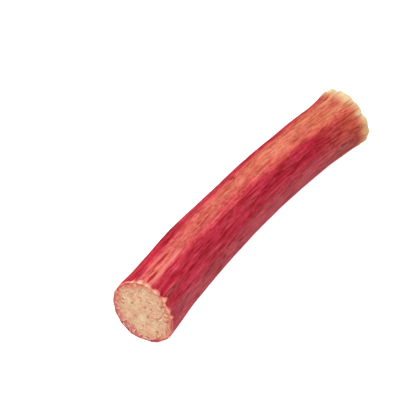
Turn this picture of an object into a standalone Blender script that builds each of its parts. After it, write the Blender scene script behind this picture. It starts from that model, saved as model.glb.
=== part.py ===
"""A cut length of rhubarb stalk, lying on its rounded underside.

The stalk runs along X, bends a little towards -Y as it goes to +X, and rests on z = 0. Its butt end
is at -X, cut square. Its leaf end, at +X, flares and its ribs grow heavier. Around the stalk, angles
start at the +Y side and go up over the top, so 90 degrees is the top and 180 the -Y side.
"""

import math

import bmesh
import bpy
from mathutils import Matrix, Vector

# Driving dimensions, in metres and degrees
STALK_LENGTH = 0.1820  # along the bent centreline, between the two cuts
WIDTH = 0.0288  # between the ribs, at mid length
HEIGHT = 0.0301
BUTT_SWELL = 0.0023  # extra height at the butt end, gone by mid length
FLARE_WIDTH = 0.0042  # extra width and height at the leaf end's rim
FLARE_HEIGHT = 0.0024
FLARE_START = 0.84  # share of the length where the flare begins
BEND = 6.5  # turn over the length, if the bend were even
EXTRA_BEND = 9.8  # further turn, which gathers towards the leaf end
SETTLE = 0.0004  # how far the underside is pressed flat where it lies
RIM_ROUND = 0.0009  # rounding of both cut rims

RIB_ANGLES = (2, 22, 43, 62, 82, 98, 116, 134, 156, 177, 199, 221, 243, 297, 318, 340)
RIB_HEIGHT = 0.0003
RIB_HALF_WIDTH = 7.5  # degrees, where a rib has dropped to about a third
RIB_FLARE = 1.6  # how much heavier the ribs are at the leaf end, as a share

# The swells and hollows that it grew with: share of the length, angle, height in metres, and the
# reach along (as a share) and around (in degrees) where it has dropped to about a third
SWELLS = (
    (0.00, 28, 0.0005, 0.10, 32),
    (0.00, 97, 0.0003, 0.12, 10),
    (0.00, 133, 0.0006, 0.12, 10),
    (0.00, 149, -0.0006, 0.06, 8),
    (0.00, 206, 0.0010, 0.08, 24),
    (0.07, 50, -0.0006, 0.07, 24),
    (0.23, 50, 0.0005, 0.08, 26),
    (0.46, 50, -0.0005, 0.09, 26),
    (0.86, 48, 0.0008, 0.07, 26),
    (1.00, 40, 0.0007, 0.06, 16),
    (1.00, 62, 0.0007, 0.06, 11),
    (1.00, 130, -0.0009, 0.08, 20),
    (1.00, 184, 0.0008, 0.05, 18),
    (0.96, 212, -0.0006, 0.16, 18),
    (1.00, 228, -0.0007, 0.05, 16),
)

POINTS_AROUND = 72
RINGS = 40
RIM_ROLL = (30, 60, 90)  # degrees turned at each ring of a rounded rim
SHARP_ANGLE = 40  # degrees: the edge between a rim and its cut stays crisp above this


def flare(share):
    """0 along the stalk, rising to 1 at the leaf end's rim."""
    return max(0.0, (share - FLARE_START) / (1 - FLARE_START)) ** 2


def centreline():
    """(share of the length, place, heading) of each full ring, evenly spaced from the butt end."""
    step = (STALK_LENGTH - 2 * RIM_ROUND) / (RINGS - 1)
    place = Vector((0, 0, 0))
    stations = []
    for i in range(RINGS):
        share = i / (RINGS - 1)
        turned = BEND * share + EXTRA_BEND * share**2
        heading = math.radians(BEND / 2 + EXTRA_BEND / 3 - turned)
        stations.append((share, place.copy(), heading))
        place += step * Vector((math.cos(heading), math.sin(heading), 0))
    return stations


def rib(angle, share):
    """How far the ribs move the surface out at this angle."""
    height = RIB_HEIGHT * (1 + RIB_FLARE * flare(share))
    total = 0.0
    for crest in RIB_ANGLES:
        away = (angle - crest + 180) % 360 - 180
        total += height * math.exp(-((away / RIB_HALF_WIDTH) ** 2))
    return total


def swell(angle, share):
    """How far the swells and hollows move the surface out at this angle."""
    total = 0.0
    for where, crest, height, reach_along, reach_around in SWELLS:
        away = (angle - crest + 180) % 360 - 180
        fade = ((share - where) / reach_along) ** 2 + (away / reach_around) ** 2
        total += height * math.exp(-fade)
    return total


def section(share, place, heading, inset=0.0):
    """The ring of points around the stalk at one station, drawn in by inset."""
    half_width = (WIDTH + FLARE_WIDTH * flare(share)) / 2
    half_height = (HEIGHT + BUTT_SWELL * (1 - share) ** 3 + FLARE_HEIGHT * flare(share)) / 2
    sideways = Vector((-math.sin(heading), math.cos(heading), 0))
    centre = place + Vector((0, 0, half_height - SETTLE))
    ring = []
    for i in range(POINTS_AROUND):
        angle = 360 * i / POINTS_AROUND
        out = rib(angle, share) + swell(angle, share) - inset
        across = (half_width + out) * math.cos(math.radians(angle))
        up = (half_height + out) * math.sin(math.radians(angle))
        point = centre + across * sideways + Vector((0, 0, up))
        point.z = max(point.z, 0)
        ring.append(point)
    return ring


def rounded_end(station, outwards):
    """The rings that roll a cut rim over, from the last full ring to the flat of the cut."""
    share, place, heading = station
    along = outwards * Vector((math.cos(heading), math.sin(heading), 0))
    rings = []
    for roll in RIM_ROLL:
        drop = RIM_ROUND * (1 - math.cos(math.radians(roll)))
        reach = RIM_ROUND * math.sin(math.radians(roll))
        rings.append(section(share, place + reach * along, heading, drop))
    return rings


def stalk_rings():
    """Every ring from the butt cut to the leaf-end cut."""
    stations = centreline()
    butt = rounded_end(stations[0], -1)
    leaf_end = rounded_end(stations[-1], 1)
    return butt[::-1] + [section(*station) for station in stations] + leaf_end


def loft(rings):
    """A closed mesh through the rings, with a flat cut at each end."""
    mesh = bmesh.new()
    rows = [[mesh.verts.new(point) for point in ring] for ring in rings]
    for near, far in zip(rows, rows[1:]):
        for i in range(POINTS_AROUND):
            j = (i + 1) % POINTS_AROUND
            mesh.faces.new((near[i], near[j], far[j], far[i]))
    mesh.faces.new(rows[0][::-1])
    mesh.faces.new(rows[-1])
    bmesh.ops.recalc_face_normals(mesh, faces=mesh.faces)
    return mesh


def centre_on_footprint(mesh):
    """Moves the mesh so that the middle of its box is over the origin."""
    xs = [vertex.co.x for vertex in mesh.verts]
    ys = [vertex.co.y for vertex in mesh.verts]
    middle = Vector(((min(xs) + max(xs)) / 2, (min(ys) + max(ys)) / 2, 0))
    bmesh.ops.transform(mesh, matrix=Matrix.Translation(-middle), verts=mesh.verts)


def skin_material():
    material = bpy.data.materials.new("rhubarb skin")
    material.use_nodes = True
    shader = material.node_tree.nodes["Principled BSDF"]
    shader.inputs["Base Color"].default_value = (0.50, 0.06, 0.06, 1)
    shader.inputs["Roughness"].default_value = 0.45
    shader.inputs["Metallic"].default_value = 0
    return material


def build_stalk(collection):
    mesh = loft(stalk_rings())
    centre_on_footprint(mesh)
    data = bpy.data.meshes.new("stalk")
    mesh.to_mesh(data)
    mesh.free()
    data.materials.append(skin_material())
    data.shade_smooth()
    data.set_sharp_from_angle(angle=math.radians(SHARP_ANGLE))
    collection.objects.link(bpy.data.objects.new("stalk", data))


def main():
    for leftover in list(bpy.data.objects):
        bpy.data.objects.remove(leftover)
    collection = bpy.data.collections.new("rhubarb stalk")
    bpy.context.scene.collection.children.link(collection)
    build_stalk(collection)


main()
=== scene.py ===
"""Looks of a cut rhubarb stalk: its streaked skin, torn butt rim, pale leaf end and fibrous cuts."""

import math
import random

import bpy
import numpy as np
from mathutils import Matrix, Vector, noise


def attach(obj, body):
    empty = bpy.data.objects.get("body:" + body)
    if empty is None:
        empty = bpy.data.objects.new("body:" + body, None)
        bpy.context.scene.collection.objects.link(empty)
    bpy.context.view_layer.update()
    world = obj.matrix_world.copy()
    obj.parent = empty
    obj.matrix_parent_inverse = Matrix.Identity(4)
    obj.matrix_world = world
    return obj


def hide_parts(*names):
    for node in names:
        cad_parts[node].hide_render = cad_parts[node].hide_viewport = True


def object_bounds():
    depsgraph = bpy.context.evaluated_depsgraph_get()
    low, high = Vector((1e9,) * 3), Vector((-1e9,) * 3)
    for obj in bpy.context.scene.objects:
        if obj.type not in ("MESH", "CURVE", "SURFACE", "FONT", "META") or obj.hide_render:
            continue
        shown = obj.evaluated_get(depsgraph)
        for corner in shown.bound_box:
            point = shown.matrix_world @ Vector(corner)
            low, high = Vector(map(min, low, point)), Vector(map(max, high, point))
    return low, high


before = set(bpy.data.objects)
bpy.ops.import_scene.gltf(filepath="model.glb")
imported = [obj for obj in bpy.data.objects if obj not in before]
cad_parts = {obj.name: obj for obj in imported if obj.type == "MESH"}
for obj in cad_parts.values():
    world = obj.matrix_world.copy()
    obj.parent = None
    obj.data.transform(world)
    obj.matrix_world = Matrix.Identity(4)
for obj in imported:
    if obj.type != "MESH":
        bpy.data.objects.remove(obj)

CAD_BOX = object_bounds()

# The stalk's form, the same as the frame's: metres, degrees and shares of the length. Around the
# stalk, angles start at the +Y side and go up over the top: 90 is the top and 180 the -Y side.
STALK_LENGTH = 0.1820
WIDTH = 0.0288
HEIGHT = 0.0301
BUTT_SWELL = 0.0023
FLARE_WIDTH = 0.0042
FLARE_HEIGHT = 0.0024
FLARE_START = 0.84
BEND = 6.5
EXTRA_BEND = 9.8
SETTLE = 0.0004
RIM_ROUND = 0.0009
RIB_ANGLES = (2, 22, 43, 62, 82, 98, 116, 134, 156, 177, 199, 221, 243, 297, 318, 340)
RIB_HEIGHT = 0.0003
RIB_HALF_WIDTH = 7.5
RIB_FLARE = 1.6
SWELLS = (
    (0.00, 28, 0.0005, 0.10, 32),
    (0.00, 97, 0.0003, 0.12, 10),
    (0.00, 133, 0.0006, 0.12, 10),
    (0.00, 149, -0.0006, 0.06, 8),
    (0.00, 206, 0.0010, 0.08, 24),
    (0.07, 50, -0.0006, 0.07, 24),
    (0.23, 50, 0.0005, 0.08, 26),
    (0.46, 50, -0.0005, 0.09, 26),
    (0.86, 48, 0.0008, 0.07, 26),
    (1.00, 40, 0.0007, 0.06, 16),
    (1.00, 62, 0.0007, 0.06, 11),
    (1.00, 130, -0.0009, 0.08, 20),
    (1.00, 184, 0.0008, 0.05, 18),
    (0.96, 212, -0.0006, 0.16, 18),
    (1.00, 228, -0.0007, 0.05, 16),
)
FULL_LENGTH = STALK_LENGTH - 2 * RIM_ROUND  # between the first full section and the last
MEAN_RADIUS = (WIDTH + HEIGHT) / 4
RIM_HALF = RIM_ROUND * math.pi / 4  # half the way over a rounded rim
CENTRELINE_POINTS = 400

# How finely the surface is made
DISC_CELLS = 100  # cells across each cut, a quarter of the points around the stalk
POINTS_AROUND = 4 * DISC_CELLS
FIRST_ANGLE = -45  # degrees: each ring starts here, at a corner of the cells across the cuts
SKIN_RINGS = 158
END_CROWDING = 0.62  # how much closer the rings lie at both ends, as a share
ROLL_RINGS = 5  # rings on each rounded rim
BORDER_RINGS = 9  # rings of each cut between its rim and its inner disc
BORDER_WIDTH = 0.0027

# From here on, lengths that a reader would judge by eye are in millimetres.
MM = 0.001

# Torn flaps of the butt rim: angle and half width in degrees, how far the flap stands up, and how
# far its flesh shows along the skin. Below 0, the skin runs over the rim instead.
BUTT_FLAPS = (
    (24, 4.0, 0.10, 0.4),
    (45, 3.0, 0.05, 0.4),
    (60, 4.0, 0.05, 0.3),
    (72, 4.0, 0.22, 1.3),
    (79, 2.0, -0.15, -0.2),
    (87, 5.5, 0.55, 2.0),
    (94, 1.8, -0.10, -0.5),
    (102, 5.5, 0.25, 1.3),
    (111, 2.2, -0.20, -0.4),
    (120, 6.0, 0.60, 1.0),
    (129, 2.6, -0.25, -0.8),
    (138, 3.2, 0.50, 2.1),
    (146, 4.0, -0.40, -0.5),
    (156, 4.5, 0.12, 0.5),
    (164, 3.0, -0.10, -0.2),
    (170, 1.6, 0.45, 1.1),
    (176, 2.5, -0.15, -0.4),
    (196, 9.0, -0.05, -0.2),
    (214, 2.5, 0.10, 0.4),
    (235, 11.0, 0.34, 0.35),
    (256, 12.0, 0.36, 0.30),
    (278, 12.0, 0.34, 0.35),
    (300, 12.0, 0.32, 0.30),
    (321, 11.0, 0.28, 0.30),
    (341, 8.0, 0.18, 0.40),
)

# Scallops of the leaf-end rim: angle, half width, and how far out along the stalk
LEAF_SCALLOPS = (
    (8, 9, 0.4),
    (34, 5, -0.5),
    (62, 9, 0.5),
    (84, 8, 0.3),
    (101, 8, 0.2),
    (114, 4, -0.8),
    (125, 6, 0.3),
    (140, 5, -0.9),
    (160, 8, 0.1),
    (178, 8, -0.4),
    (203, 6, -0.6),
    (226, 9, 0.3),
    (251, 6, -0.5),
    (276, 9, 0.3),
    (300, 5, -0.6),
    (322, 8, 0.4),
    (345, 5, -0.5),
)

# How far the pale tissue of the leaf end reaches down the skin: angle, half width and millimetres
PALE_TONGUES = (
    (20, 6, 1.8),
    (40, 6, 2.4),
    (58, 6, 3.3),
    (72, 9, 2.6),
    (89, 11, 3.0),
    (103, 7, 3.2),
    (110, 4, 1.4),
    (119, 5, 2.2),
    (137, 6, 2.6),
    (150, 5, 1.6),
    (160, 5, 1.2),
    (174, 9, 2.4),
    (196, 6, 2.0),
    (214, 7, 3.0),
    (238, 6, 1.8),
    (262, 8, 2.8),
    (288, 6, 1.6),
    (310, 7, 3.0),
    (334, 6, 1.8),
    (356, 7, 2.6),
)

# How wide the pink rim of the butt's cut is, beyond its least width: angle, half width and millimetres
PINK_RIM = (
    (14, 18, 2.2),
    (74, 16, 1.5),
    (140, 12, 0.9),
    (180, 24, 1.4),
    (250, 24, 1.0),
    (300, 20, 3.8),
    (342, 16, 1.6),
)
ROSY_SIDE = 310  # degrees: where that rim is rosiest; on the far side it is salmon
ROSY_HALF_WIDTH = 75

# How far the pale flesh of the torn flaps reaches over the butt rim onto its cut, in the same way
FLAP_FEET = (
    (28, 4.0, 0.3),
    (70, 3.5, 0.5),
    (99, 4.0, 1.0),
    (107, 2.0, 0.6),
    (119, 5.5, 1.1),
    (137, 3.0, 0.8),
    (145, 3.5, 1.5),
    (156, 4.0, 0.7),
    (171, 2.5, 0.5),
    (213, 4.0, 0.7),
    (298, 2.5, 0.9),
    (352, 3.0, 0.6),
)

# Where the skin folds over the butt rim and shades the flesh beside it: angle, half width and strength
RIM_FOLDS = (
    (63, 3.0, 0.4),
    (89, 6.0, 1.0),
    (128, 2.5, 0.9),
    (146, 4.0, 1.0),
    (243, 6.0, 0.6),
    (306, 5.0, 0.7),
)

# The line of red skin that the knife left on the butt's rim: angle, half width and millimetres
RED_EDGE = (
    (5, 20, 0.8),
    (38, 14, 0.9),
    (66, 12, 1.1),
    (82, 6, 0.4),
    (145, 4, 0.8),
    (183, 12, 0.7),
    (206, 14, 0.6),
    (243, 16, 1.4),
    (272, 10, 1.1),
    (300, 14, 1.3),
    (322, 4, 1.4),
    (340, 12, 0.9),
)

# Hollows that the knife tore in the butt's flesh, each painted brown as shade: angle, reach from the middle
# to the rim, and radius in millimetres
FLESH_HOLLOWS = (
    (14, 0.68, 0.7),
    (27, 0.72, 0.5),
    (42, 0.47, 0.6),
    (82, 0.61, 0.6),
    (107, 0.28, 0.7),
    (143, 0.86, 0.9),
    (168, 0.80, 0.6),
    (177, 0.87, 0.8),
    (184, 0.50, 0.6),
    (195, 0.20, 0.6),
    (228, 0.72, 0.8),
    (328, 0.32, 1.0),
)

# Wet, clearer patches of that flesh, given in the same way
CLEAR_PATCHES = (
    (95, 0.70, 1.3),
    (205, 0.42, 1.2),
    (225, 0.61, 1.5),
    (285, 0.20, 1.6),
    (300, 0.10, 1.2),
)

# Folds that the knife left there, painted darker as shade, with raised lips beside them painted paler as
# highlights: angle, reach, lean from the way outwards in degrees, and half length
FLESH_FOLDS = (
    (15, 0.67, 60, 0.5),
    (28, 0.74, 10, 0.8),
    (40, 0.46, -60, 0.6),
    (66, 0.72, 40, 0.5),
    (82, 0.62, -80, 0.8),
    (110, 0.28, 70, 0.7),
    (138, 0.44, -70, 0.6),
    (143, 0.85, 5, 1.0),
    (158, 0.88, 35, 0.8),
    (174, 0.60, -39, 2.0),
    (180, 0.80, -5, 1.1),
    (192, 0.18, 60, 0.8),
    (207, 0.88, 50, 0.7),
    (221, 0.83, 15, 0.9),
    (229, 0.71, -20, 0.8),
    (240, 0.91, 75, 0.9),
    (252, 0.93, 85, 1.0),
    (260, 0.87, -60, 1.0),
    (266, 0.94, 80, 0.8),
    (270, 0.42, 80, 0.5),
    (276, 0.88, 55, 0.8),
    (289, 0.82, 0, 1.1),
    (305, 0.91, 30, 0.8),
    (320, 0.81, -5, 1.3),
    (324, 0.57, 60, 0.6),
    (350, 0.86, 20, 0.8),
)
FOLD_BOW = 0.12
FOLD_HALF_WIDTH = 0.4
FOLD_LIP = (0.65, 0.32)  # how far beside a fold its raised lip lies, and the lip's half width
RIM_FOLD = (0.45, 0.35)  # how far in from the rim its folds lie, and their half width

# Short torn fibres that stand up from each cut
TORN_FIBRES = 110
FIBRE_REACH = 0.94  # of the outermost, from the middle to the rim
FIBRE_HALF_LENGTHS = (0.4, 1.5)
FIBRE_BOW = 0.15  # at most, to either side
FIBRE_HALF_WIDTH = 0.28
# The crease beside each fibre is painted darker on the cut, as shade
FIBRE_SHADE_CREASE = (-0.5, 0.26)  # how far beside a fibre its crease lies, and the crease's half width

# Where the skin has its own marks, kind by kind: first and last percent of the length, angle, half
# width in degrees and strength
DEEP_RED_MARKS = (
    (0, 4, 75, 2.2, 1.1),
    (0, 5, 127, 1.6, 0.8),
    (1.2, 4.2, 98.5, 2, 3.2),
    (2, 7, 151, 1.8, 0.7),
    (2, 10, 67, 1.6, 0.7),
    (4, 9, 124, 3, 0.8),
    (6, 13, 110, 1.8, 1.1),
    (6, 14, 89, 2.4, 1),
    (7, 11, 166, 2, 0.7),
    (7, 12, 155, 1.6, 0.9),
    (8, 12, 143, 1.6, 0.7),
    (10, 14, 127, 1.6, 1),
    (10, 20, 70, 2.2, 0.6),
    (12, 15, 137, 2.4, 1.2),
    (17, 24, 138, 1.4, 0.9),
    (17, 27, 50, 8, 0.9),
    (19, 30, 154, 1.6, 0.6),
    (20, 25, 93, 1.6, 0.4),
    (24, 34, 143, 2.2, 0.6),
    (27, 36, 162, 3, 0.6),
    (27, 37, 120, 1.8, 1),
    (35, 46, 85, 2.2, 0.4),
    (40, 50, 126, 1.6, 1),
    (40, 51, 121, 1.5, 0.8),
    (40, 63, 141, 1.7, 0.9),
    (42, 50, 162, 3, 0.6),
    (45, 52, 101, 2, 0.4),
    (53, 60, 103, 1.8, 0.5),
    (56, 61, 54, 8, 0.7),
    (56, 66, 130, 1.7, 1),
    (64, 74, 143, 2.4, 0.7),
    (66, 73, 126, 2, 0.9),
    (68, 71, 53, 6, 0.5),
    (69, 77, 106, 1.8, 0.5),
    (75, 84, 133, 3.5, 0.7),
    (76, 92, 53, 7, 0.35),
    (79, 83, 72, 1.6, 0.4),
    (80, 85, 148, 2, 0.8),
    (82, 92, 165, 2, 0.7),
    (86, 90, 55, 7, 0.6),
    (87, 92, 148, 2.5, 0.7),
    (88, 98, 129, 1.5, 0.8),
    (93, 97, 113, 1.4, 0.6),
    (93.5, 97, 69, 1.8, 1.3),
)
PALE_MARKS = (
    (0, 1.2, 73, 4, 1),
    (0, 5, 136, 2.4, 0.5),
    (0, 10, 104, 3.6, 0.9),
    (1, 8, 131, 1.8, 0.7),
    (2, 13, 82, 3, 0.5),
    (6, 10, 160, 2.2, 0.6),
    (7, 12, 118, 1.8, 0.8),
    (10, 17, 101, 3.6, 0.7),
    (13, 17, 150, 2.2, 0.6),
    (15, 20, 128, 2, 0.5),
    (21, 28, 148, 2.4, 0.7),
    (29, 35, 111, 1.2, 0.7),
    (30, 36, 136, 2, 0.5),
    (38, 46, 91, 2.2, 0.6),
    (47, 50, 94, 2.5, 0.8),
    (49, 60, 108, 1.5, 0.6),
    (49, 62, 151, 1.5, 0.7),
    (60, 66, 80, 5, 0.6),
    (78, 81, 78, 2, 0.6),
    (80, 87, 79, 6, 0.5),
    (88, 93, 169, 1.6, 0.5),
    (90, 97, 104, 6, 0.6),
    (90, 98, 75, 6, 1),
)
ROSE_MARKS = (
    (0, 14, 80, 7, 0.4),
    (3, 25, 114, 3.5, 0.4),
    # This and the next, along the band's -Y edge, are partly painted highlight on its shoulder
    (18, 66, 106, 3, 0.7),
    (20, 62, 113, 3, 0.9),
    (27, 42, 56, 9, 0.9),
    (44, 56, 60, 6, 0.4),
    (64, 76, 115, 2, 0.3),
    (73, 78, 62, 6, 0.6),
    (89, 98.5, 59, 3.5, 1),
)
# Those from 166 degrees on down the flank are partly painted reflection of the pale floor
DUSTY_MARKS = (
    # Partly painted shade beside the tall torn flap at 138 degrees
    (1, 8, 136, 4, 0.8),
    (1, 11, 166, 9, 0.7),
    (19, 27, 174, 6, 0.5),
    (29, 37, 128, 4, 0.5),
    (40, 49, 133, 4, 0.6),
    (50, 60, 171, 5, 0.5),
    (61, 69, 134, 4, 0.6),
    (84, 89, 142, 5, 0.4),
    (84, 97, 178, 9, 0.7),
    (84, 98, 194, 8, 0.8),
)
BROWN_MARKS = (
    # Partly painted shade beside the tall torn flap at 138 degrees
    (1, 7, 139, 7, 0.45),
    (38, 50, 132, 3, 0.3),
    (80, 89, 55, 7, 0.6),
    (84, 90, 117, 3.5, 0.4),
)
ORANGE_MARKS = (
    (60, 70, 95, 4, 0.4),
    (79, 84, 72, 3, 0.4),
    (83, 91, 92, 5, 0.9),
    (85, 91, 107, 3.5, 0.5),
    (94, 97, 91, 3, 0.6),
)
OCHRE_MARKS = (
    (84, 92, 105, 7, 0.3),
    (97, 100, 106, 5, 0.5),
    (98.5, 100, 240, 8, 0.8),
    (98.5, 100, 322, 8, 0.8),
    (98.7, 100, 173, 10, 1),
)
SCARLET_MARKS = (
    (0, 1.2, 172, 3, 0.8),
    (0, 1.4, 13, 5, 0.8),
    (0, 1.4, 226, 5, 0.8),
    (0, 1.6, 146, 5, 1),
)
CREASES = (
    (96.5, 100, 12, 1.4, 0.6),
    (95, 100, 34, 1.7, 0.8),
    (92.5, 99, 67, 1.4, 0.8),
    (97.5, 100, 81, 1.3, 0.4),
    (95.5, 100, 107, 1.3, 0.9),
    (94, 100, 111, 1.2, 0.7),
    (96, 100, 115, 1.4, 0.9),
    (93, 100, 129, 1.6, 1),
    (95, 100, 143, 1.6, 0.7),
    (96, 100, 163, 1.5, 0.6),
    (94, 100, 203, 1.7, 0.8),
    (96, 100, 227, 1.4, 0.6),
    (95, 100, 251, 1.7, 0.8),
    (96.5, 100, 277, 1.4, 0.6),
    (94, 100, 300, 1.7, 0.8),
    (96, 100, 323, 1.4, 0.6),
    (95, 100, 346, 1.7, 0.8),
)

MARK_SHOWS = (0.08, 0.88)  # summed strengths at which a mark starts to show and is full
MARK_FADE = 0.55  # how softly a mark ends along the stalk, as a share of its length
MARK_TAPER = 0.6  # how wide it is at its ends, as a share of its width

# Marks of the same kinds on the rest of the skin, laid at random: how many, half width and strength
RANDOM_SEED = 11
RANDOM_SIDE = (205, 400)  # degrees
RANDOM_STARTS = (0, 95)  # percent of the length
RANDOM_LENGTHS = (4, 16)
RANDOM_WIDTHS = (0.6, 1.5)  # shares of the half width given
RANDOM_STRENGTHS = (0.4, 1)  # shares of the strength given
RANDOM_DEEP_RED = (42, 2.2, 1.0)
RANDOM_PALE = (16, 2.2, 0.6)
RANDOM_ROSE = (8, 6, 0.7)

# How the edges of the marks wander around the stalk, in degrees, and how ragged they are, as layers
# of smooth noise: height, size of a blob along, across and up, and seed
WANDER = (
    (1.3, (14, 30, 30), 12),
    (0.8, (5, 30, 30), 13),
)
RAGGED = ((0.9, (5, 1.0, 1.0), 20),)

SEED_STEP = (7.31, 3.17, 5.77)  # how far the noise moves from one seed to the next

# Relief of the skin and the cuts, as such layers. A size alone is the same all ways.
SKIN_RELIEF = (
    (0.12, (22, 1.8, 1.8), 1),  # strands
    (0.04, (9, 1.1, 1.1), 2),
    (0.25, (38, 7, 7), 3),  # waves
    (0.10, (9, 3, 3), 4),
    (0.03, (2.6, 1.6, 1.6), 14),  # pebbling
)
PLEATS = (
    (0.18, (25, 2.2, 2.2), 6),
    (0.08, (8, 1.2, 1.2), 7),
)
CUT_RELIEF = (
    (0.14, 2.4, 9),  # lumps
    (0.07, 1.2, 17),
    (0.25, 6, 11),  # waves
)
BUTT_RIM_RELIEF = ((0.14, 1.5, 15),)

# How deep each kind of mark sinks into the skin and the cuts. Below 0, it stands up.
SKIN_DEPTHS = {"deep_red": 0.10, "crease": 0.35, "nick": 0.12}
CUT_DEPTHS = {"torn_edge_highlight": -0.26, "crease": 0.22, "shaded_hollow": 0.35, "fold": 0.22}
CUT_DISH = 0.15  # how far the cuts lie in from their rims

# Where these start and are full, in millimetres past the rim's middle towards the cut
SCALLOPS_GROW = (-5, -0.5)
SCALLOPS_FADE = (0.4, 2.8)
PLEATS_GROW = (-11, -1)
FLAPS_GROW = (-1.8, -0.2)
DISH_GROWS = (0.3, 2.0)
FLAP_LEAN = 0.6  # how far a flap leans out along the stalk, as a share of how far it stands up
FLAP_DEPTH = 0.9

# Nicks in the skin: the noise levels where they start and are full, size of a blob, and seed
NICK_CLUSTERS = (-0.25, 0.30, (26, 8, 8), 18)
LONG_NICKS = (0.28, 0.44, (8, 0.9, 0.9), 5)
SHORT_NICKS = (0.32, 0.48, (5, 0.8, 0.8), 19)
SHORT_NICK_DEPTH = 0.8  # of a long one
NICKS_BETWEEN = 0.25  # how deep they are between the clusters, as a share
NICK_STRENGTH = 1.15
NICKS_FEWER = 0.35  # how much of that is gone past these shares of the length
NICKS_FADE = (0.6, 0.95)

# The salmon band along the top, in degrees. At the butt its +Y edge starts further over, and its -Y
# edge steps out between these shares of the length.
BAND_START = 63
BAND_START_AT_BUTT = 13
BAND_END = 109
BAND_STEPS = (
    (7, 0.12, 0.27),
    (3.5, 0.45, 0.62),
    (6, 0.80, 0.92),
)

# How far the other zones reach where none of their features lies. Below 0, they stop short of the rim.
PALE_END_REACH = 1.4
TORN_FLESH_REACH = -0.25
PINK_RIM_REACH = 1.3
FLAP_FEET_REACH = -0.15
RED_EDGE_REACH = -0.1
LEAF_PINK_RIM = 0.4  # on the leaf end's cut, where the rims are even
LEAF_CREAM_EDGE = 0.8
LEAF_RED_EDGE = -1

# The outer flank, a redder crimson that is partly its own colour and partly painted red reflection and
# shade of a neighbouring stalk that is not built, and the lower side, a duller pink that is partly painted
# reflection of the pale floor: middle and half width
OUTER_FLANK_PAINTED_REFLECTION = (26, 42)
LOWER_SIDE_PAINTED_REFLECTION = (257, 96)

# How the edge of each zone wavers: how far, the length and width of its waves, and its softness
EDGES = {
    "top_band": (1.0, 18, 2.5, 1.3),
    "outer_flank_painted_reflection": (1.5, 20, 4, 2.0),
    "lower_side_painted_reflection": (1.5, 20, 4, 4.0),
    "pale_end": (1.2, 6, 2.4, 2.6),
    "torn_flesh": (0.8, 1.6, 0.9, 0.4),
    "pink_rim": (1.8, 2, 2, 1.2),
    "red_edge": (0.5, 2, 2, 0.5),
    "flap_foot": (0.6, 2, 2, 0.4),
}

# Streaks of the skin: length, width, and the noise levels where they start and are full
FLANK_STREAKS = (26, 5, 0.40, 0.60)
BAND_LIGHT_STREAKS = (14, 3.5, 0.45, 0.62)
BAND_RED_STREAKS = (10, 2.4, 0.50, 0.66)
CREAM_STREAKS = (5, 1.4, 0.42, 0.60)
TAN_STREAKS = (7, 1.4, 0.50, 0.64)
CLOUDS = (12, 4.5, 0.44, 0.62)
THREADS = (9, 0.9, 0.46, 0.64)
MOTTLE = (2.8, 1.8, 0.44, 0.62)
PITS = (1.7, 1.0, 0.60, 0.70)
GRIT = (1.8, 0.8, 0.42, 0.58)

# Colours of the skin, as sRGB codes
CRIMSON = "c02a40"
LIGHT_CRIMSON = "ce3a50"
# Partly painted red reflection and shade on the outer flank
OUTER_CRIMSON_AND_PAINTED_REFLECTION = "d42a40"
# Partly painted reflection of the pale floor on the lower side
DULL_PINK_AND_PAINTED_REFLECTION = "cc6a72"
BRICK_RED = "cf664d"
SALMON = "e5746b"
ORANGE_SALMON = "ea8868"
LIGHT_SALMON = "ea8c78"
RED_SALMON = "d05a56"
PINK_EDGE = "e65a66"
CORAL_EDGE = "e46854"
CLOUD_TINT = "c04c58"
THREAD_TINT = "b8505a"
PIT_TINT = "b03a48"
GRIT_TINT = "d8a8a8"
NICK_TINT = "b03848"
FLANK_MOTTLE = "dc5866"
BAND_MOTTLE = "f2a08c"
PALE_ON_FLANK = "d8606a"
PALE_ON_BAND = "e6907e"
PALE_NEAR_LEAF = "eca07c"
DEEP_ON_FLANK = "9c0c20"
DEEP_ON_BAND = "a82a30"
PEACH = "e29c74"
CREAM = "e8cc9e"
LIGHT_CREAM = "f0daae"
TAN = "e0a47c"
OCHRE = "d89c58"
CREASE_BROWN = "a8553e"
BRUISED_PINK = "e6887a"
LIT_FLAP = "f9c6aa"
FLAP_EDGE = "e58e84"

# The skin's marks in the order that they lie over each other: how much each hides, and its colour
SKIN_MARKS = (
    ("rose", 0.85, "dc4258"),
    ("dusty", 0.8, "b05a60"),
    ("brown", 0.65, "bc6258"),
    ("orange", 0.7, "cc6a3c"),
    ("scarlet", 0.85, "cc4436"),
)

# Colours of the flesh, in the middle of a cut and near its rim where these differ
TAN_FLESH = "dca988"
GOLDEN_FLESH = "dab48e"
OUTER_FLESH = "d08c6e"
CLEAR_FLESH = "dcc8a2"
# Paler on raised lumps and crumbs and darker between them: partly mottling, partly painted highlight and
# shade
LUMP_TONE_AND_HIGHLIGHT = "eec6a0"
LUMP_TONE_AND_SHADE = "c48868"
CRUMB_TONE_AND_HIGHLIGHT = "f4d4b0"
CRUMB_TONE_AND_SHADE = "bc8060"
# Small crumbs near the rim: partly the flesh's tone, partly painted highlights and shade
BIT_TONE_AND_HIGHLIGHT = "f4cbae"
BIT_TONE_AND_SHADE = "b26650"
SALMON_RIM = "d97459"
ROSY_RIM = "c8666a"
# Raised torn fibres and fold lips, painted paler as highlights
FIBRE_HIGHLIGHT_COLOURS = ("f4d2ae", "fbdcc4")
# Creases beside the torn fibres, painted darker as shade
CREASE_SHADE_COLOURS = ("b07658", "a05648")
# Folds of the butt's flesh and rim, painted darker as shade
FOLD_SHADE_COLOURS = ("b27458", "9c4844")
# Painted shade in the torn hollows
HOLLOW_SHADE = "ac6a4c"
KNIFE_RED = "aa3a44"
FOOT_CREAM = "f6caa8"

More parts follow.
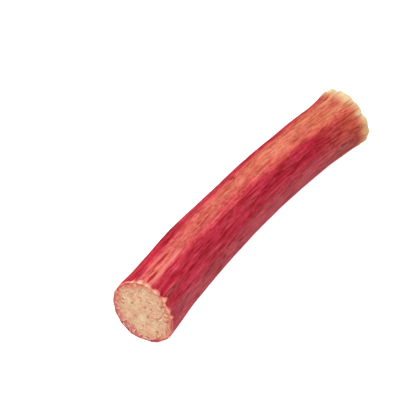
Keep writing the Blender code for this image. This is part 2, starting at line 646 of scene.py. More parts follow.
# The flat map, in shares of its side: the skin's strip, and below it a disc for each cut
MAP_MARGIN = 0.01
MAP_STRIP_FOOT = 0.25
MAP_DISC_RADIUS = 0.105
MAP_DISC_MIDDLE = 0.115
MAP_DISC_STEP = 0.25

# The view and the room, in metres and degrees. Azimuth 0 looks along +Y.
VIEW_AZIMUTH = -56.56
VIEW_ELEVATION = 37.50
VIEW_DISTANCE = 0.572
VIEW_AIM = Vector((-0.00595, 0.01966, 0.00765))
LENS = 100
FLOOR_SIDE = 6.0
FLOOR_SHADE = 0.8
FLOOR_GLOW = 0.8
ROOM_LIGHT = 0.3
LIGHT_AIM = Vector((0, 0, 0.015))
BLACK = "000000"
WHITE = "ffffff"


# ---- arithmetic


def smooth(low, high, x):
    """0 up to low, 1 from high on, and a soft step between."""
    t = np.clip((x - low) / (high - low), 0, 1)
    return t * t * (3 - 2 * t)


def turn(angle, crest):
    """Degrees from a crest to each angle, the short way round."""
    return (angle - crest + 180) % 360 - 180


def hump(x, half_width):
    return np.exp(-((x / half_width) ** 2))


def grain(points, size, seed):
    """Smooth noise, about -1 to 1. size is a blob's size, one for all axes or one for each."""
    places = points / np.asarray(size) + np.array(SEED_STEP) * seed
    return np.array([noise.noise(place) for place in places.tolist()])


def layers(points, rows):
    """The sum of layers of smooth noise, each a row of height, size and seed."""
    return sum(height * grain(points, size, seed) for height, size, seed in rows)


def patches(points, low, high, size, seed):
    """Patches of smooth noise: 0 where it is below low, and 1 where it is above high."""
    return smooth(low, high, grain(points, size, seed))


# ---- form


def flare(share):
    """0 along the stalk, rising to 1 at the leaf end's rim."""
    return np.maximum(0.0, (share - FLARE_START) / (1 - FLARE_START)) ** 2


def ribs(angle, share):
    height = RIB_HEIGHT * (1 + RIB_FLARE * flare(share))
    return height * sum(hump(turn(angle, crest), RIB_HALF_WIDTH) for crest in RIB_ANGLES)


def swells(angle, share):
    total = 0.0
    for where, crest, height, reach_along, reach_around in SWELLS:
        total = total + height * hump(share - where, reach_along) * hump(turn(angle, crest), reach_around)
    return total


def straight_points(along, angle, reach, inset):
    """The points of a stalk laid straight: along it, to its +Y side, and up from the surface it lies on.

    reach is 1 at a section's edge and 0 at its middle. inset draws the edge in.
    """
    share = np.clip(along / FULL_LENGTH, 0, 1)
    half_width = (WIDTH + FLARE_WIDTH * flare(share)) / 2
    half_height = (HEIGHT + BUTT_SWELL * (1 - share) ** 3 + FLARE_HEIGHT * flare(share)) / 2
    out = reach**2 * (ribs(angle, share) + swells(angle, share)) - inset
    across = reach * (half_width + out) * np.cos(np.radians(angle))
    up = half_height - SETTLE + reach * (half_height + out) * np.sin(np.radians(angle))
    return np.stack([along, across, up], -1)


def bent(straight):
    """The same points on the bent stalk, and none of them below the surface that it lies on."""
    share = np.linspace(0, 1, CENTRELINE_POINTS)
    heading = np.radians(BEND / 2 + EXTRA_BEND / 3 - BEND * share - EXTRA_BEND * share**2)
    middle = (heading[1:] + heading[:-1]) / 2
    step = FULL_LENGTH / len(middle)
    line_x = np.concatenate([[0], np.cumsum(np.cos(middle)) * step])
    line_y = np.concatenate([[0], np.cumsum(np.sin(middle)) * step])
    along, across, up = straight.T
    inside = np.clip(along, 0, FULL_LENGTH)
    here = inside / FULL_LENGTH
    turned = np.interp(here, share, heading)
    x = np.interp(here, share, line_x) + (along - inside) * np.cos(turned) - across * np.sin(turned)
    y = np.interp(here, share, line_y) + (along - inside) * np.sin(turned) + across * np.cos(turned)
    return np.stack([x, y, np.maximum(up, 0)], -1)


# ---- surface


class Surface:
    """Every point of the stalk's surface as it lies on the straight stalk, and the quads between them.

    The points come as rings, from the butt cut's border over its rim, along the skin and over the
    leaf end's rim, and then as the inner disc of each cut. over_butt and over_leaf say how far a
    point lies past the middle of that rim, towards its cut, measured along the surface.
    """

    def __init__(self):
        past, inset, over = self.end_rows()
        skin = self.skin_rows()
        far = np.full(len(past), -STALK_LENGTH)
        self.rows = 2 * len(past) + len(skin)
        along = np.concatenate([-past[::-1], skin, FULL_LENGTH + past])
        insets = np.concatenate([inset[::-1], 0 * skin, inset])
        over_butt = np.concatenate([over[::-1], -skin - RIM_HALF, far])
        over_leaf = np.concatenate([far, skin - FULL_LENGTH - RIM_HALF, over])
        around = FIRST_ANGLE + 360 * np.arange(POINTS_AROUND) / POINTS_AROUND
        disc_reach, disc_angle = self.disc()
        disc = np.ones(len(disc_reach))
        disc_inset = RIM_ROUND + BORDER_WIDTH
        disc_over = RIM_HALF + BORDER_WIDTH + (1 - disc_reach) * (MEAN_RADIUS - disc_inset)

        def each(of_row, of_butt, of_leaf):
            return np.concatenate([np.repeat(of_row, POINTS_AROUND), of_butt * disc, of_leaf * disc])

        self.along = each(along, -RIM_ROUND, FULL_LENGTH + RIM_ROUND)
        self.inset = each(insets, disc_inset, disc_inset)
        self.over_butt = each(over_butt, disc_over, -STALK_LENGTH)
        self.over_leaf = each(over_leaf, -STALK_LENGTH, disc_over)
        self.reach = each(np.ones(self.rows), disc_reach, disc_reach)
        self.angle = np.concatenate([np.tile(around, self.rows), disc_angle, disc_angle])
        self.share = np.clip(self.along / FULL_LENGTH, 0, 1)
        over_both = np.maximum(self.over_butt, self.over_leaf)
        self.cut = smooth(-RIM_HALF, RIM_HALF, over_both)
        self.quads = np.concatenate([self.skin_quads(), self.disc_quads(0), self.disc_quads(1)])

    @staticmethod
    def end_rows():
        """One end's rings from its rim inwards: how far past the skin, how far in, how far over the rim."""
        roll = np.radians(np.linspace(0, 90, ROLL_RINGS + 1)[1:])
        border = np.linspace(0, BORDER_WIDTH, BORDER_RINGS + 1)[1:]
        past = RIM_ROUND * np.concatenate([np.sin(roll), np.ones(BORDER_RINGS)])
        inset = RIM_ROUND + np.concatenate([-RIM_ROUND * np.cos(roll), border])
        over = RIM_HALF + np.concatenate([RIM_ROUND * (roll - math.pi / 2), border])
        return past, inset, over

    @staticmethod
    def skin_rows():
        """Rings along the skin, closer together at both ends, where it has the most detail."""
        even = np.linspace(0, 1, SKIN_RINGS)
        return FULL_LENGTH * (even - END_CROWDING * np.sin(2 * math.pi * even) / (2 * math.pi))

    @staticmethod
    def disc():
        """Reach and angle of the points inside a disc whose grid of quads meets the ring around it."""
        lean = np.radians(np.linspace(FIRST_ANGLE, -FIRST_ANGLE, DISC_CELLS + 1))[1:-1]
        a, b = np.meshgrid(lean, lean, indexing="ij")
        across = math.sqrt(2) * np.sin(a) * np.cos(b)
        up = math.sqrt(2) * np.cos(a) * np.sin(b)
        return np.hypot(across, up).ravel(), np.degrees(np.arctan2(up, across)).ravel()

    def skin_quads(self):
        """The quads between each ring and the next."""
        row, k = np.meshgrid(np.arange(self.rows - 1), np.arange(POINTS_AROUND), indexing="ij")
        near = (row * POINTS_AROUND + k).ravel()
        near_next = (row * POINTS_AROUND + (k + 1) % POINTS_AROUND).ravel()
        return np.stack([near, near_next, near_next + POINTS_AROUND, near + POINTS_AROUND], -1)

    def disc_quads(self, end):
        """The quads of one cut's inner disc. end is 0 at the butt and 1 at the leaf end."""
        n = DISC_CELLS
        ring = (self.rows - 1) * POINTS_AROUND * end
        inner = self.rows * POINTS_AROUND + (n - 1) ** 2 * end
        side = np.arange(n + 1)
        table = np.empty((n + 1, n + 1), int)
        table[1:-1, 1:-1] = inner + np.arange((n - 1) ** 2).reshape(n - 1, n - 1)
        table[n, :] = ring + side
        table[:, n] = ring + 2 * n - side
        table[0, :] = ring + 3 * n - side
        table[:, 0] = ring + (3 * n + side) % POINTS_AROUND
        corners = [table[:-1, :-1], table[1:, :-1], table[1:, 1:], table[:-1, 1:]]
        quads = np.stack([corner.ravel() for corner in corners], -1)
        return quads if end else quads[:, ::-1]


def normals_of(points, quads):
    """The outward direction at each point, as the mean of its faces."""
    across = points[quads[:, 2]] - points[quads[:, 0]]
    back = points[quads[:, 3]] - points[quads[:, 1]]
    faces = np.cross(across, back)
    total = np.zeros_like(points)
    for corner in range(4):
        np.add.at(total, quads[:, corner], faces)
    return total / np.linalg.norm(total, axis=1, keepdims=True)


# ---- relief, in millimetres


def amount(features, angle, column=2):
    """One amount of a list of features, each fading out around the angle where it lies."""
    return sum(feature[column] * hump(turn(angle, feature[0]), feature[1]) for feature in features)


def sunk(marks, depths):
    """How deep the marks sink altogether."""
    return sum(depth * marks[name] for name, depth in depths.items())


def scallops(surface):
    """How far the leaf end's rim reaches out along the stalk."""
    over = surface.over_leaf / MM
    fade = smooth(*SCALLOPS_GROW, over) * (1 - smooth(*SCALLOPS_FADE, over))
    return amount(LEAF_SCALLOPS, surface.angle) * fade


def lips(surface, fibre):
    """How far the torn butt rim's flaps reach out along the stalk."""
    ragged = FLAP_LEAN * amount(BUTT_FLAPS, surface.angle) + layers(fibre, BUTT_RIM_RELIEF)
    return -ragged * hump(surface.over_butt / MM, FLAP_DEPTH)


def nicks(surface, fibre):
    """Short nicks and split strands, in loose clusters along the skin, fewer towards the leaf end."""
    clusters = NICKS_BETWEEN + (1 - NICKS_BETWEEN) * patches(fibre, *NICK_CLUSTERS)
    strength = NICK_STRENGTH - NICKS_FEWER * smooth(*NICKS_FADE, surface.share)
    short = SHORT_NICK_DEPTH * patches(fibre, *SHORT_NICKS)
    return strength * clusters * np.maximum(patches(fibre, *LONG_NICKS), short)


def skin_relief(surface, fibre, marks):
    """Strands, waves and nicks of the skin, its torn flaps, and the pleats that fan out at the leaf end."""
    fan = smooth(*PLEATS_GROW, surface.over_leaf / MM)
    flaps = amount(BUTT_FLAPS, surface.angle) * smooth(*FLAPS_GROW, surface.over_butt / MM)
    return layers(fibre, SKIN_RELIEF) + fan * layers(fibre, PLEATS) + flaps - sunk(marks, SKIN_DEPTHS)


def cut_relief(surface, fibre, marks):
    """The crumbly, fibrous face that the knife left: lumps, torn fibres, creases and hollows."""
    dish = CUT_DISH * smooth(*DISH_GROWS, np.maximum(surface.over_butt, surface.over_leaf) / MM)
    return layers(fibre, CUT_RELIEF) - dish - sunk(marks, CUT_DEPTHS)


# ---- marks of the cuts


def in_cut(fibre, angle, reach):
    """How far each point lies across and up from a place in a cut. angle is in radians."""
    across = fibre[:, 1] - reach * WIDTH / 2 / MM * math.cos(angle)
    up = fibre[:, 2] - reach * HEIGHT / 2 / MM * math.sin(angle)
    return across, up


def bowed_line(place, heading, bow, half_length):
    """A short bowed line through a place: its strength at each point, and how far beside it that is."""
    across, up = place
    along = across * math.cos(heading) + up * math.sin(heading)
    beside = up * math.cos(heading) - across * math.sin(heading) + bow * along**2
    return np.exp(-((along / half_length) ** 4)), beside


def strip(beside, offset, half_width):
    """A soft strip that runs beside a line, at an offset from it."""
    return hump(beside - offset, half_width)


def torn_fibres(surface, fibre, rng):
    """Short curved fibres that the knife pulled up from the flesh, and the crease beside each one. The
    cut's material paints each fibre paler, as a highlight, and each crease darker, as shade.
    """
    ridge = np.zeros(len(fibre))
    crease = np.zeros(len(fibre))
    for end in (surface.share < 0.5, surface.share > 0.5):
        face = np.nonzero(end & (surface.cut > 0))[0]
        for _ in range(TORN_FIBRES):
            angle = rng.uniform(0, 2 * math.pi)
            reach = FIBRE_REACH * rng.uniform(0.1, 1) ** 0.6
            heading = angle + math.pi / 2 + rng.gauss(0, 1.0)
            half_length = rng.uniform(*FIBRE_HALF_LENGTHS)
            bow = rng.uniform(-FIBRE_BOW, FIBRE_BOW)
            strength = rng.uniform(0.3, 1) * (0.4 + 0.6 * reach)
            line, beside = bowed_line(in_cut(fibre[face], angle, reach), heading, bow, half_length)
            ridge[face] += strength * line * hump(beside, FIBRE_HALF_WIDTH)
            crease[face] += strength * line * strip(beside, *FIBRE_SHADE_CREASE)
    return np.minimum(ridge, 1), np.minimum(crease, 1)


def flesh_folds(surface, fibre):
    """The longer folds of the butt's flesh, with those at its rim, and the raised lips beside them. The
    cut's material paints the folds darker, as shade, and the lips paler, as highlights.
    """
    fold = amount(RIM_FOLDS, surface.angle) * strip(surface.over_butt / MM, *RIM_FOLD)
    lip = np.zeros(len(fibre))
    for angle, reach, lean, half_length in FLESH_FOLDS:
        place = in_cut(fibre, math.radians(angle), reach)
        line, beside = bowed_line(place, math.radians(angle + lean), FOLD_BOW, half_length)
        fold += line * hump(beside, FOLD_HALF_WIDTH)
        lip += line * strip(beside, *FOLD_LIP)
    at_butt = surface.share < 0.5
    return at_butt * np.minimum(fold, 1), at_butt * np.minimum(lip, 1)


def spots(surface, fibre, places):
    """Round soft spots in the butt's flesh."""
    total = np.zeros(len(fibre))
    for angle, reach, radius in places:
        total += hump(np.hypot(*in_cut(fibre, math.radians(angle), reach)), radius)
    return (surface.share < 0.5) * np.minimum(total, 1)


# ---- colour marks


def random_marks(rng, count, half_width, strength):
    """Marks of one kind on the part of the skin that the lists leave bare."""
    marks = []
    for _ in range(count):
        start = rng.uniform(*RANDOM_STARTS)
        length = rng.uniform(*RANDOM_LENGTHS)
        angle = rng.uniform(*RANDOM_SIDE)
        width = half_width * rng.uniform(*RANDOM_WIDTHS)
        marks.append((start, start + length, angle, width, strength * rng.uniform(*RANDOM_STRENGTHS)))
    return tuple(marks)


def marked(surface, marks, wander, ragged=0.0):
    """How strongly the marks show at each point, from 0 to 1. ragged breaks up their edges."""
    total = np.zeros(len(surface.angle))
    percent = 100 * surface.share
    angle = surface.angle + wander
    for first, last, crest, half_width, strength in marks:
        spread = hump((percent - (first + last) / 2) / (last - first), MARK_FADE)
        taper = half_width * (MARK_TAPER + (1 - MARK_TAPER) * spread)
        total += strength * spread**0.7 * hump(turn(angle, crest), taper)
    return smooth(*MARK_SHOWS, total * (1 + ragged))


def colour_marks(surface, fibre):
    """How strongly each kind of mark shows at each point, from 0 to 1."""
    rng = random.Random(RANDOM_SEED)
    wander = layers(fibre, WANDER)
    ragged = layers(fibre, RAGGED)
    deep_red = DEEP_RED_MARKS + random_marks(rng, *RANDOM_DEEP_RED)
    kinds = {
        "pale": PALE_MARKS + random_marks(rng, *RANDOM_PALE),
        "rose": ROSE_MARKS + random_marks(rng, *RANDOM_ROSE),
        "dusty": DUSTY_MARKS,
        "brown": BROWN_MARKS,
        "orange": ORANGE_MARKS,
        "ochre": OCHRE_MARKS,
    }
    marks = {name: marked(surface, places, wander, 0.5 * ragged) for name, places in kinds.items()}
    marks["deep_red"] = marked(surface, deep_red, wander, ragged)
    marks["scarlet"] = marked(surface, SCARLET_MARKS, 0.3 * wander)
    marks["nick"] = nicks(surface, fibre)
    ridge, flesh_crease_shade = torn_fibres(surface, fibre, rng)
    skin_crease = marked(surface, CREASES, 0.4 * wander)
    fold, lip = flesh_folds(surface, fibre)
    # On the cuts, the creases beside torn fibres, painted darker as shade
    marks["crease"] = (1 - surface.cut) * skin_crease + surface.cut * flesh_crease_shade
    # Folds, painted darker as shade
    marks["fold"] = surface.cut * fold
    # Raised torn fibres and fold lips, painted paler as highlights
    marks["torn_edge_highlight"] = surface.cut * np.maximum(ridge, lip)
    # Torn hollows, painted brown as shade
    marks["shaded_hollow"] = surface.cut * spots(surface, fibre, FLESH_HOLLOWS)
    marks["clear"] = surface.cut * spots(surface, fibre, CLEAR_PATCHES)
    return marks


def zone_distances(surface):
    """How many millimetres inside each zone a point lies, below 0 outside it.

    With them come the distances from both ends and into the cuts, and how rosy the butt's rim is.
    """
    share = surface.share
    angle = surface.angle
    start = BAND_START + BAND_START_AT_BUTT * (1 - share) ** 2
    end = BAND_END + sum(out * smooth(first, last, share) for out, first, last in BAND_STEPS)
    into = np.maximum(surface.over_butt, surface.over_leaf) / MM

    def sector(middle, half_width):
        return np.radians(half_width - np.abs(turn(angle, middle))) * MEAN_RADIUS / MM

    def rim(reach, features, at_leaf_end):
        return np.where(share > 0.5, at_leaf_end, reach + amount(features, angle)) - into

    return {
        "top_band": sector((start + end) / 2, (end - start) / 2),
        "outer_flank_painted_reflection": sector(*OUTER_FLANK_PAINTED_REFLECTION),
        "lower_side_painted_reflection": sector(*LOWER_SIDE_PAINTED_REFLECTION),
        "pale_end": PALE_END_REACH + amount(PALE_TONGUES, angle) + surface.over_leaf / MM,
        "torn_flesh": TORN_FLESH_REACH + amount(BUTT_FLAPS, angle, 3) + surface.over_butt / MM,
        "pink_rim": rim(PINK_RIM_REACH, PINK_RIM, LEAF_PINK_RIM),
        "flap_foot": rim(FLAP_FEET_REACH, FLAP_FEET, LEAF_CREAM_EDGE),
        "red_edge": rim(RED_EDGE_REACH, RED_EDGE, LEAF_RED_EDGE),
        "into_cut": into,
        "rosy": hump(turn(angle, ROSY_SIDE), ROSY_HALF_WIDTH),
        "from_butt": -surface.over_butt / MM,
        "from_leaf": -surface.over_leaf / MM,
    }


# ---- mesh


def add_object(name, data, place=(0, 0, 0)):
    made = bpy.data.objects.new(name, data)
    made.location = place
    bpy.context.scene.collection.objects.link(made)
    return made


def store(mesh, name, values):
    """Keeps a number, or a vector, for each point of the mesh, for the materials to read."""
    kind, field = ("FLOAT_VECTOR", "vector") if values.ndim == 2 else ("FLOAT", "value")
    attribute = mesh.attributes.new(name, kind, "POINT")
    attribute.data.foreach_set(field, values.astype(np.float32).ravel())


def mesh_of(name, points, quads):
    """A smooth-shaded mesh of quads."""
    mesh = bpy.data.meshes.new(name)
    mesh.vertices.add(len(points))
    mesh.vertices.foreach_set("co", points.astype(np.float32).ravel())
    mesh.loops.add(quads.size)
    mesh.loops.foreach_set("vertex_index", quads.astype(np.int32).ravel())
    mesh.polygons.add(len(quads))
    mesh.polygons.foreach_set("loop_start", np.arange(0, quads.size, 4, dtype=np.int32))
    mesh.update(calc_edges=True)
    mesh.validate()
    mesh.shade_smooth()
    return mesh


def flat_map(surface):
    """Where each face's corners lie on the flat map, and which faces belong to the cuts."""
    quads = surface.quads
    skin_faces = (surface.rows - 1) * POINTS_AROUND
    cut_face = surface.cut[quads].mean(axis=1) > 0.5
    cut_face[skin_faces:] = True
    half = (WIDTH + FLARE_WIDTH + HEIGHT) / 4
    radius = MAP_DISC_RADIUS * surface.reach * (half - surface.inset) / half
    angle = np.radians(surface.angle)
    disc_u = MAP_DISC_MIDDLE + radius * np.cos(angle) + MAP_DISC_STEP * (surface.share > 0.5)
    disc_v = MAP_DISC_MIDDLE + radius * np.sin(angle)
    around = (surface.angle - FIRST_ANGLE) / 360
    strip_top = 1 - MAP_MARGIN
    strip_u = MAP_MARGIN + (strip_top - MAP_MARGIN) * surface.along / FULL_LENGTH
    strip_v = MAP_STRIP_FOOT + (strip_top - MAP_STRIP_FOOT) * around
    u = np.where(cut_face[:, None], disc_u[quads], strip_u[quads])
    v = np.where(cut_face[:, None], disc_v[quads], strip_v[quads])
    closing = np.nonzero(np.arange(skin_faces) % POINTS_AROUND == POINTS_AROUND - 1)[0]
    closing = closing[~cut_face[closing]]
    v[closing, 1:3] = strip_top
    return np.stack([u, v], -1), cut_face


def stalk_points(surface, straight, fibre, marks):
    """The bent stalk's points with their relief, over the middle of the frame's box."""
    base = bent(straight)
    outwards = normals_of(base, surface.quads)
    relief = (1 - surface.cut) * skin_relief(surface, fibre, marks)
    relief += surface.cut * cut_relief(surface, fibre, marks)
    past_rim = scallops(surface) + lips(surface, fibre)
    moved = straight + MM * past_rim[:, None] * np.array([1, 0, 0])
    points = bent(moved) + MM * relief[:, None] * outwards
    footprint = (base.max(axis=0) + base.min(axis=0)) / 2
    points[:, :2] += (np.array(CAD_BOX[0]) + np.array(CAD_BOX[1]))[:2] / 2 - footprint[:2]
    points[:, 2] = np.maximum(points[:, 2], 0)
    return points


def rhubarb_stalk():
    """The whole stalk as one closed piece, with its marks and zones stored for its two materials."""
    surface = Surface()
    straight = straight_points(surface.along, surface.angle, surface.reach, surface.inset)
    fibre = (straight - (HEIGHT / 2 - SETTLE) * np.array([0, 0, 1])) / MM
    marks = colour_marks(surface, fibre)
    mesh = mesh_of("rhubarb_stalk", stalk_points(surface, straight, fibre, marks), surface.quads)
    store(mesh, "fibre_space", fibre)
    for name, values in {**marks, **zone_distances(surface)}.items():
        store(mesh, name, values)
    places, cut_face = flat_map(surface)
    mesh.uv_layers.new(name="OFBake").uv.foreach_set("vector", places.astype(np.float32).ravel())
    mesh.materials.append(rhubarb_skin())
    mesh.materials.append(cut_flesh())
    mesh.polygons.foreach_set("material_index", cut_face.astype(np.int32))
    return add_object("rhubarb_stalk", mesh)


# ---- node building


def colour(code):
    """A colour from its sRGB code, such as b8323f, as the linear values that shaders take."""
    parts = [int(code[i : i + 2], 16) / 255 for i in (0, 2, 4)]
    return [p / 12.92 if p <= 0.04045 else ((p + 0.055) / 1.055) ** 2.4 for p in parts] + [1]


class Tree:
    """A node tree being built: each call adds nodes and gives back what they put out."""

    def __init__(self, tree):
        self.tree = tree

    def link(self, value, socket):
        self.tree.links.new(value, socket)

    def add(self, kind, inputs, **settings):
        node = self.tree.nodes.new("ShaderNode" + kind)
        for name, value in settings.items():
            setattr(node, name, value)
        for name, value in inputs.items():
            if isinstance(value, bpy.types.NodeSocket):
                self.link(value, node.inputs[name])
            else:
                node.inputs[name].default_value = value
        return node

    def attribute(self, name, output="Fac"):
        return self.add("Attribute", {}, attribute_name=name).outputs[output]

    def maths(self, operation, a, b=0.0):
        return self.add("Math", {0: a, 1: b}, operation=operation).outputs[0]

    def mix(self, factor, a, b, blend="MIX"):
        """Mixes two colours. Each is a socket or an sRGB code."""
        a, b = (colour(shade) if isinstance(shade, str) else shade for shade in (a, b))
        inputs = {0: factor, 6: a, 7: b}
        return self.add("Mix", inputs, data_type="RGBA", blend_type=blend).outputs[2]

    def lay(self, shade, mask, most, over, blend="MIX"):
        """Lays a colour over the shade where the mask is, at most to this share."""
        return self.mix(self.maths("MULTIPLY", mask, most), shade, over, blend)

    def step(self, value, low, high, least=0.0, most=1.0):
        """A soft step from least to most as the value goes from low to high."""
        inputs = {"Value": value, "From Min": low, "From Max": high, "To Min": least, "To Max": most}
        return self.add("MapRange", inputs, interpolation_type="SMOOTHSTEP").outputs["Result"]

    def stretched(self, vector, length, width):
        """The vector in units of a streak's length along the stalk and its width across it."""
        size = self.add("CombineXYZ", {0: length, 1: width, 2: width}).outputs[0]
        return self.add("VectorMath", {0: vector, 1: size}, operation="DIVIDE").outputs[0]

    def noise(self, vector, scale, detail, roughness=0.5):
        inputs = {"Vector": vector, "Scale": scale, "Detail": detail, "Roughness": roughness}
        return self.add("TexNoise", inputs).outputs[0]

    def group(self, group, inputs):
        return self.add("Group", inputs, node_tree=group).outputs


def new_group(name, inputs, outputs):
    """A shader group with its sockets, and its tree with what comes in and where it goes out."""
    group = bpy.data.node_groups.new(name, "ShaderNodeTree")
    kinds = {"float": "NodeSocketFloat", "vector": "NodeSocketVector", "colour": "NodeSocketColor"}
    for title, kind in inputs.items():
        group.interface.new_socket(name=title, in_out="INPUT", socket_type=kinds[kind])
    for title, kind in outputs.items():
        group.interface.new_socket(name=title, in_out="OUTPUT", socket_type=kinds[kind])
    entry = group.nodes.new("NodeGroupInput").outputs
    leave = group.nodes.new("NodeGroupOutput").inputs
    return group, Tree(group), entry, leave


def once(make):
    """Builds a group on its first use and gives the same one back after that."""
    made = []

    def fetch():
        if not made:
            made.append(make())
        return made[0]

    return fetch


# ---- shared effects


@once
def streaks_along():
    """Streaks that run along the stalk. Length and Width are theirs in millimetres."""
    inputs = {"Vector": "vector"} | dict.fromkeys(("Length", "Width", "Low", "High"), "float")
    group, tree, entry, leave = new_group("streaks along the stalk", inputs, {"Mask": "float"})
    vector = tree.stretched(entry["Vector"], entry["Length"], entry["Width"])
    strands = tree.noise(vector, 1.0, 2.0, 0.6)
    tree.link(tree.step(strands, entry["Low"], entry["High"]), leave["Mask"])
    return group


@once
def wavering_edge():
    """Turns a distance inside a zone into a mask whose edge wavers as the fibres do."""
    inputs = {"Distance": "float", "Vector": "vector"}
    inputs |= dict.fromkeys(("Waver", "Length", "Width", "Softness"), "float")
    group, tree, entry, leave = new_group("wavering edge", inputs, {"Mask": "float"})
    vector = tree.stretched(entry["Vector"], entry["Length"], entry["Width"])
    strands = tree.maths("SUBTRACT", tree.noise(vector, 1.0, 3.0, 0.6), 0.5)
    swing = tree.maths("MULTIPLY", strands, tree.maths("MULTIPLY", entry["Waver"], 4.0))
    moved = tree.maths("ADD", entry["Distance"], swing)
    low = tree.maths("MULTIPLY", entry["Softness"], -1.0)
    tree.link(tree.step(moved, low, entry["Softness"]), leave["Mask"])
    return group


@once
def raw_flesh():
    """The stalk's pale flesh where it is cut or torn: its colour, paler on raised lumps and crumbs and
    darker between them, partly its own mottling and partly painted highlight and shade, and a height for
    its crumbs.
    """
    outputs = {"Color": "colour", "Height": "float"}
    group, tree, entry, leave = new_group("raw flesh", {"Vector": "vector"}, outputs)
    vector = entry["Vector"]
    areas = tree.noise(vector, 0.17, 2.0)
    shade = tree.mix(tree.step(areas, 0.42, 0.60), TAN_FLESH, GOLDEN_FLESH)
    lumps = tree.noise(vector, 0.5, 3.0, 0.6)
    # Raised lumps paler and the ground between them darker: partly mottling, partly painted highlight and
    # shade
    shade = tree.mix(tree.step(lumps, 0.50, 0.68, 0, 0.7), shade, LUMP_TONE_AND_HIGHLIGHT)
    shade = tree.mix(tree.step(lumps, 0.47, 0.32, 0, 0.6), shade, LUMP_TONE_AND_SHADE)
    crumbs = tree.noise(vector, 1.1, 3.0, 0.65)
    # The same for the crumbs
    shade = tree.mix(tree.step(crumbs, 0.56, 0.66, 0, 0.6), shade, CRUMB_TONE_AND_HIGHLIGHT)
    shade = tree.mix(tree.step(crumbs, 0.44, 0.32, 0, 0.5), shade, CRUMB_TONE_AND_SHADE)
    tree.link(shade, leave["Color"])
    tree.link(tree.maths("ADD", lumps, tree.maths("MULTIPLY", crumbs, 0.5)), leave["Height"])
    return group


# ---- what the materials share


class StalkTree(Tree):
    """A material's tree on the stalk, with masks that follow its fibres. Sizes are in millimetres."""

    def __init__(self, tree):
        super().__init__(tree)
        self.vector = self.attribute("fibre_space", "Vector")

    def streaks(self, length, width, low, high):
        inputs = {"Vector": self.vector, "Length": length, "Width": width, "Low": low, "High": high}
        return self.group(streaks_along(), inputs)["Mask"]

    def zone(self, name):
        """The mask of a zone, with its wavering edge."""
        waver, length, width, softness = EDGES[name]
        inputs = {"Distance": self.attribute(name), "Vector": self.vector, "Waver": waver}
        inputs |= {"Length": length, "Width": width, "Softness": softness}
        return self.group(wavering_edge(), inputs)["Mask"]

    def flesh(self):
        return self.group(raw_flesh(), {"Vector": self.vector})


def new_material(name, tree_kind, specular):
    material = bpy.data.materials.new(name)
    material.use_nodes = True
    shader = material.node_tree.nodes["Principled BSDF"]
    shader.inputs["Specular IOR Level"].default_value = specular
    return material, tree_kind(material.node_tree), shader


def finish_surface(tree, shader, shade, roughness, height, relief):
    """Gives the shader its colour and roughness, and a fine relief that is this many metres deep."""
    tree.link(shade, shader.inputs["Base Color"])
    tree.link(roughness, shader.inputs["Roughness"])
    bump = tree.add("Bump", {"Height": height, "Distance": relief, "Strength": 1.0})
    tree.link(bump.outputs["Normal"], shader.inputs["Normal"])


# ---- the skin's colours, in layers


def flank_shade(tree):
    """Crimson: redder on the outer flank, partly painted red reflection and shade; a duller pink low down,
    partly painted reflection of the pale floor; and warmer towards the leaf end.
    """
    shade = tree.mix(tree.streaks(*FLANK_STREAKS), CRIMSON, LIGHT_CRIMSON)
    # The outer flank's redder crimson, partly painted red reflection and shade
    shade = tree.lay(shade, tree.zone("outer_flank_painted_reflection"), 0.85, OUTER_CRIMSON_AND_PAINTED_REFLECTION)
    # The lower side's duller pink, partly painted reflection of the pale floor
    shade = tree.lay(shade, tree.zone("lower_side_painted_reflection"), 0.65, DULL_PINK_AND_PAINTED_REFLECTION)
    return tree.mix(tree.step(tree.attribute("from_leaf"), 45, 6, 0, 0.9), shade, BRICK_RED)


def band_shade(tree, along):
    """Salmon that turns orange along the stalk, streaked light and red, with a pinker edge."""
    shade = tree.mix(along, SALMON, ORANGE_SALMON)
    shade = tree.lay(shade, tree.streaks(*BAND_LIGHT_STREAKS), 0.5, LIGHT_SALMON)
    shade = tree.lay(shade, tree.streaks(*BAND_RED_STREAKS), 0.4, RED_SALMON)
    core = tree.step(tree.attribute("top_band"), 0.0, 4.5)
    return tree.mix(core, tree.mix(along, PINK_EDGE, CORAL_EDGE), shade)


def with_fine_marks(tree, shade, in_band, threads, mottle, pits):
    """Lays clouds, threads, mottling, pits, grit and nicks over the shade."""
    shade = tree.lay(shade, tree.streaks(*CLOUDS), 0.36, CLOUD_TINT, "MULTIPLY")
    shade = tree.lay(shade, threads, 0.34, THREAD_TINT, "MULTIPLY")
    shade = tree.lay(shade, mottle, 0.12, tree.mix(in_band, FLANK_MOTTLE, BAND_MOTTLE))
    shade = tree.lay(shade, pits, 0.42, PIT_TINT, "MULTIPLY")
    shade = tree.lay(shade, tree.streaks(*GRIT), 0.3, GRIT_TINT, "MULTIPLY")
    return tree.lay(shade, tree.attribute("nick"), 0.65, NICK_TINT, "MULTIPLY")


def with_pale_and_deep_marks(tree, shade, in_band, along):
    """Lays the pale and the deep red marks over the shade. Both differ between the band and a flank."""
    pale = tree.mix(in_band, PALE_ON_FLANK, tree.mix(along, PALE_ON_BAND, PALE_NEAR_LEAF))
    shade = tree.lay(shade, tree.attribute("pale"), 0.7, pale)
    deep = tree.maths("MULTIPLY", tree.attribute("deep_red"), tree.step(in_band, 0, 1, 0.9, 1.0))
    return tree.mix(deep, shade, tree.mix(in_band, DEEP_ON_FLANK, DEEP_ON_BAND))


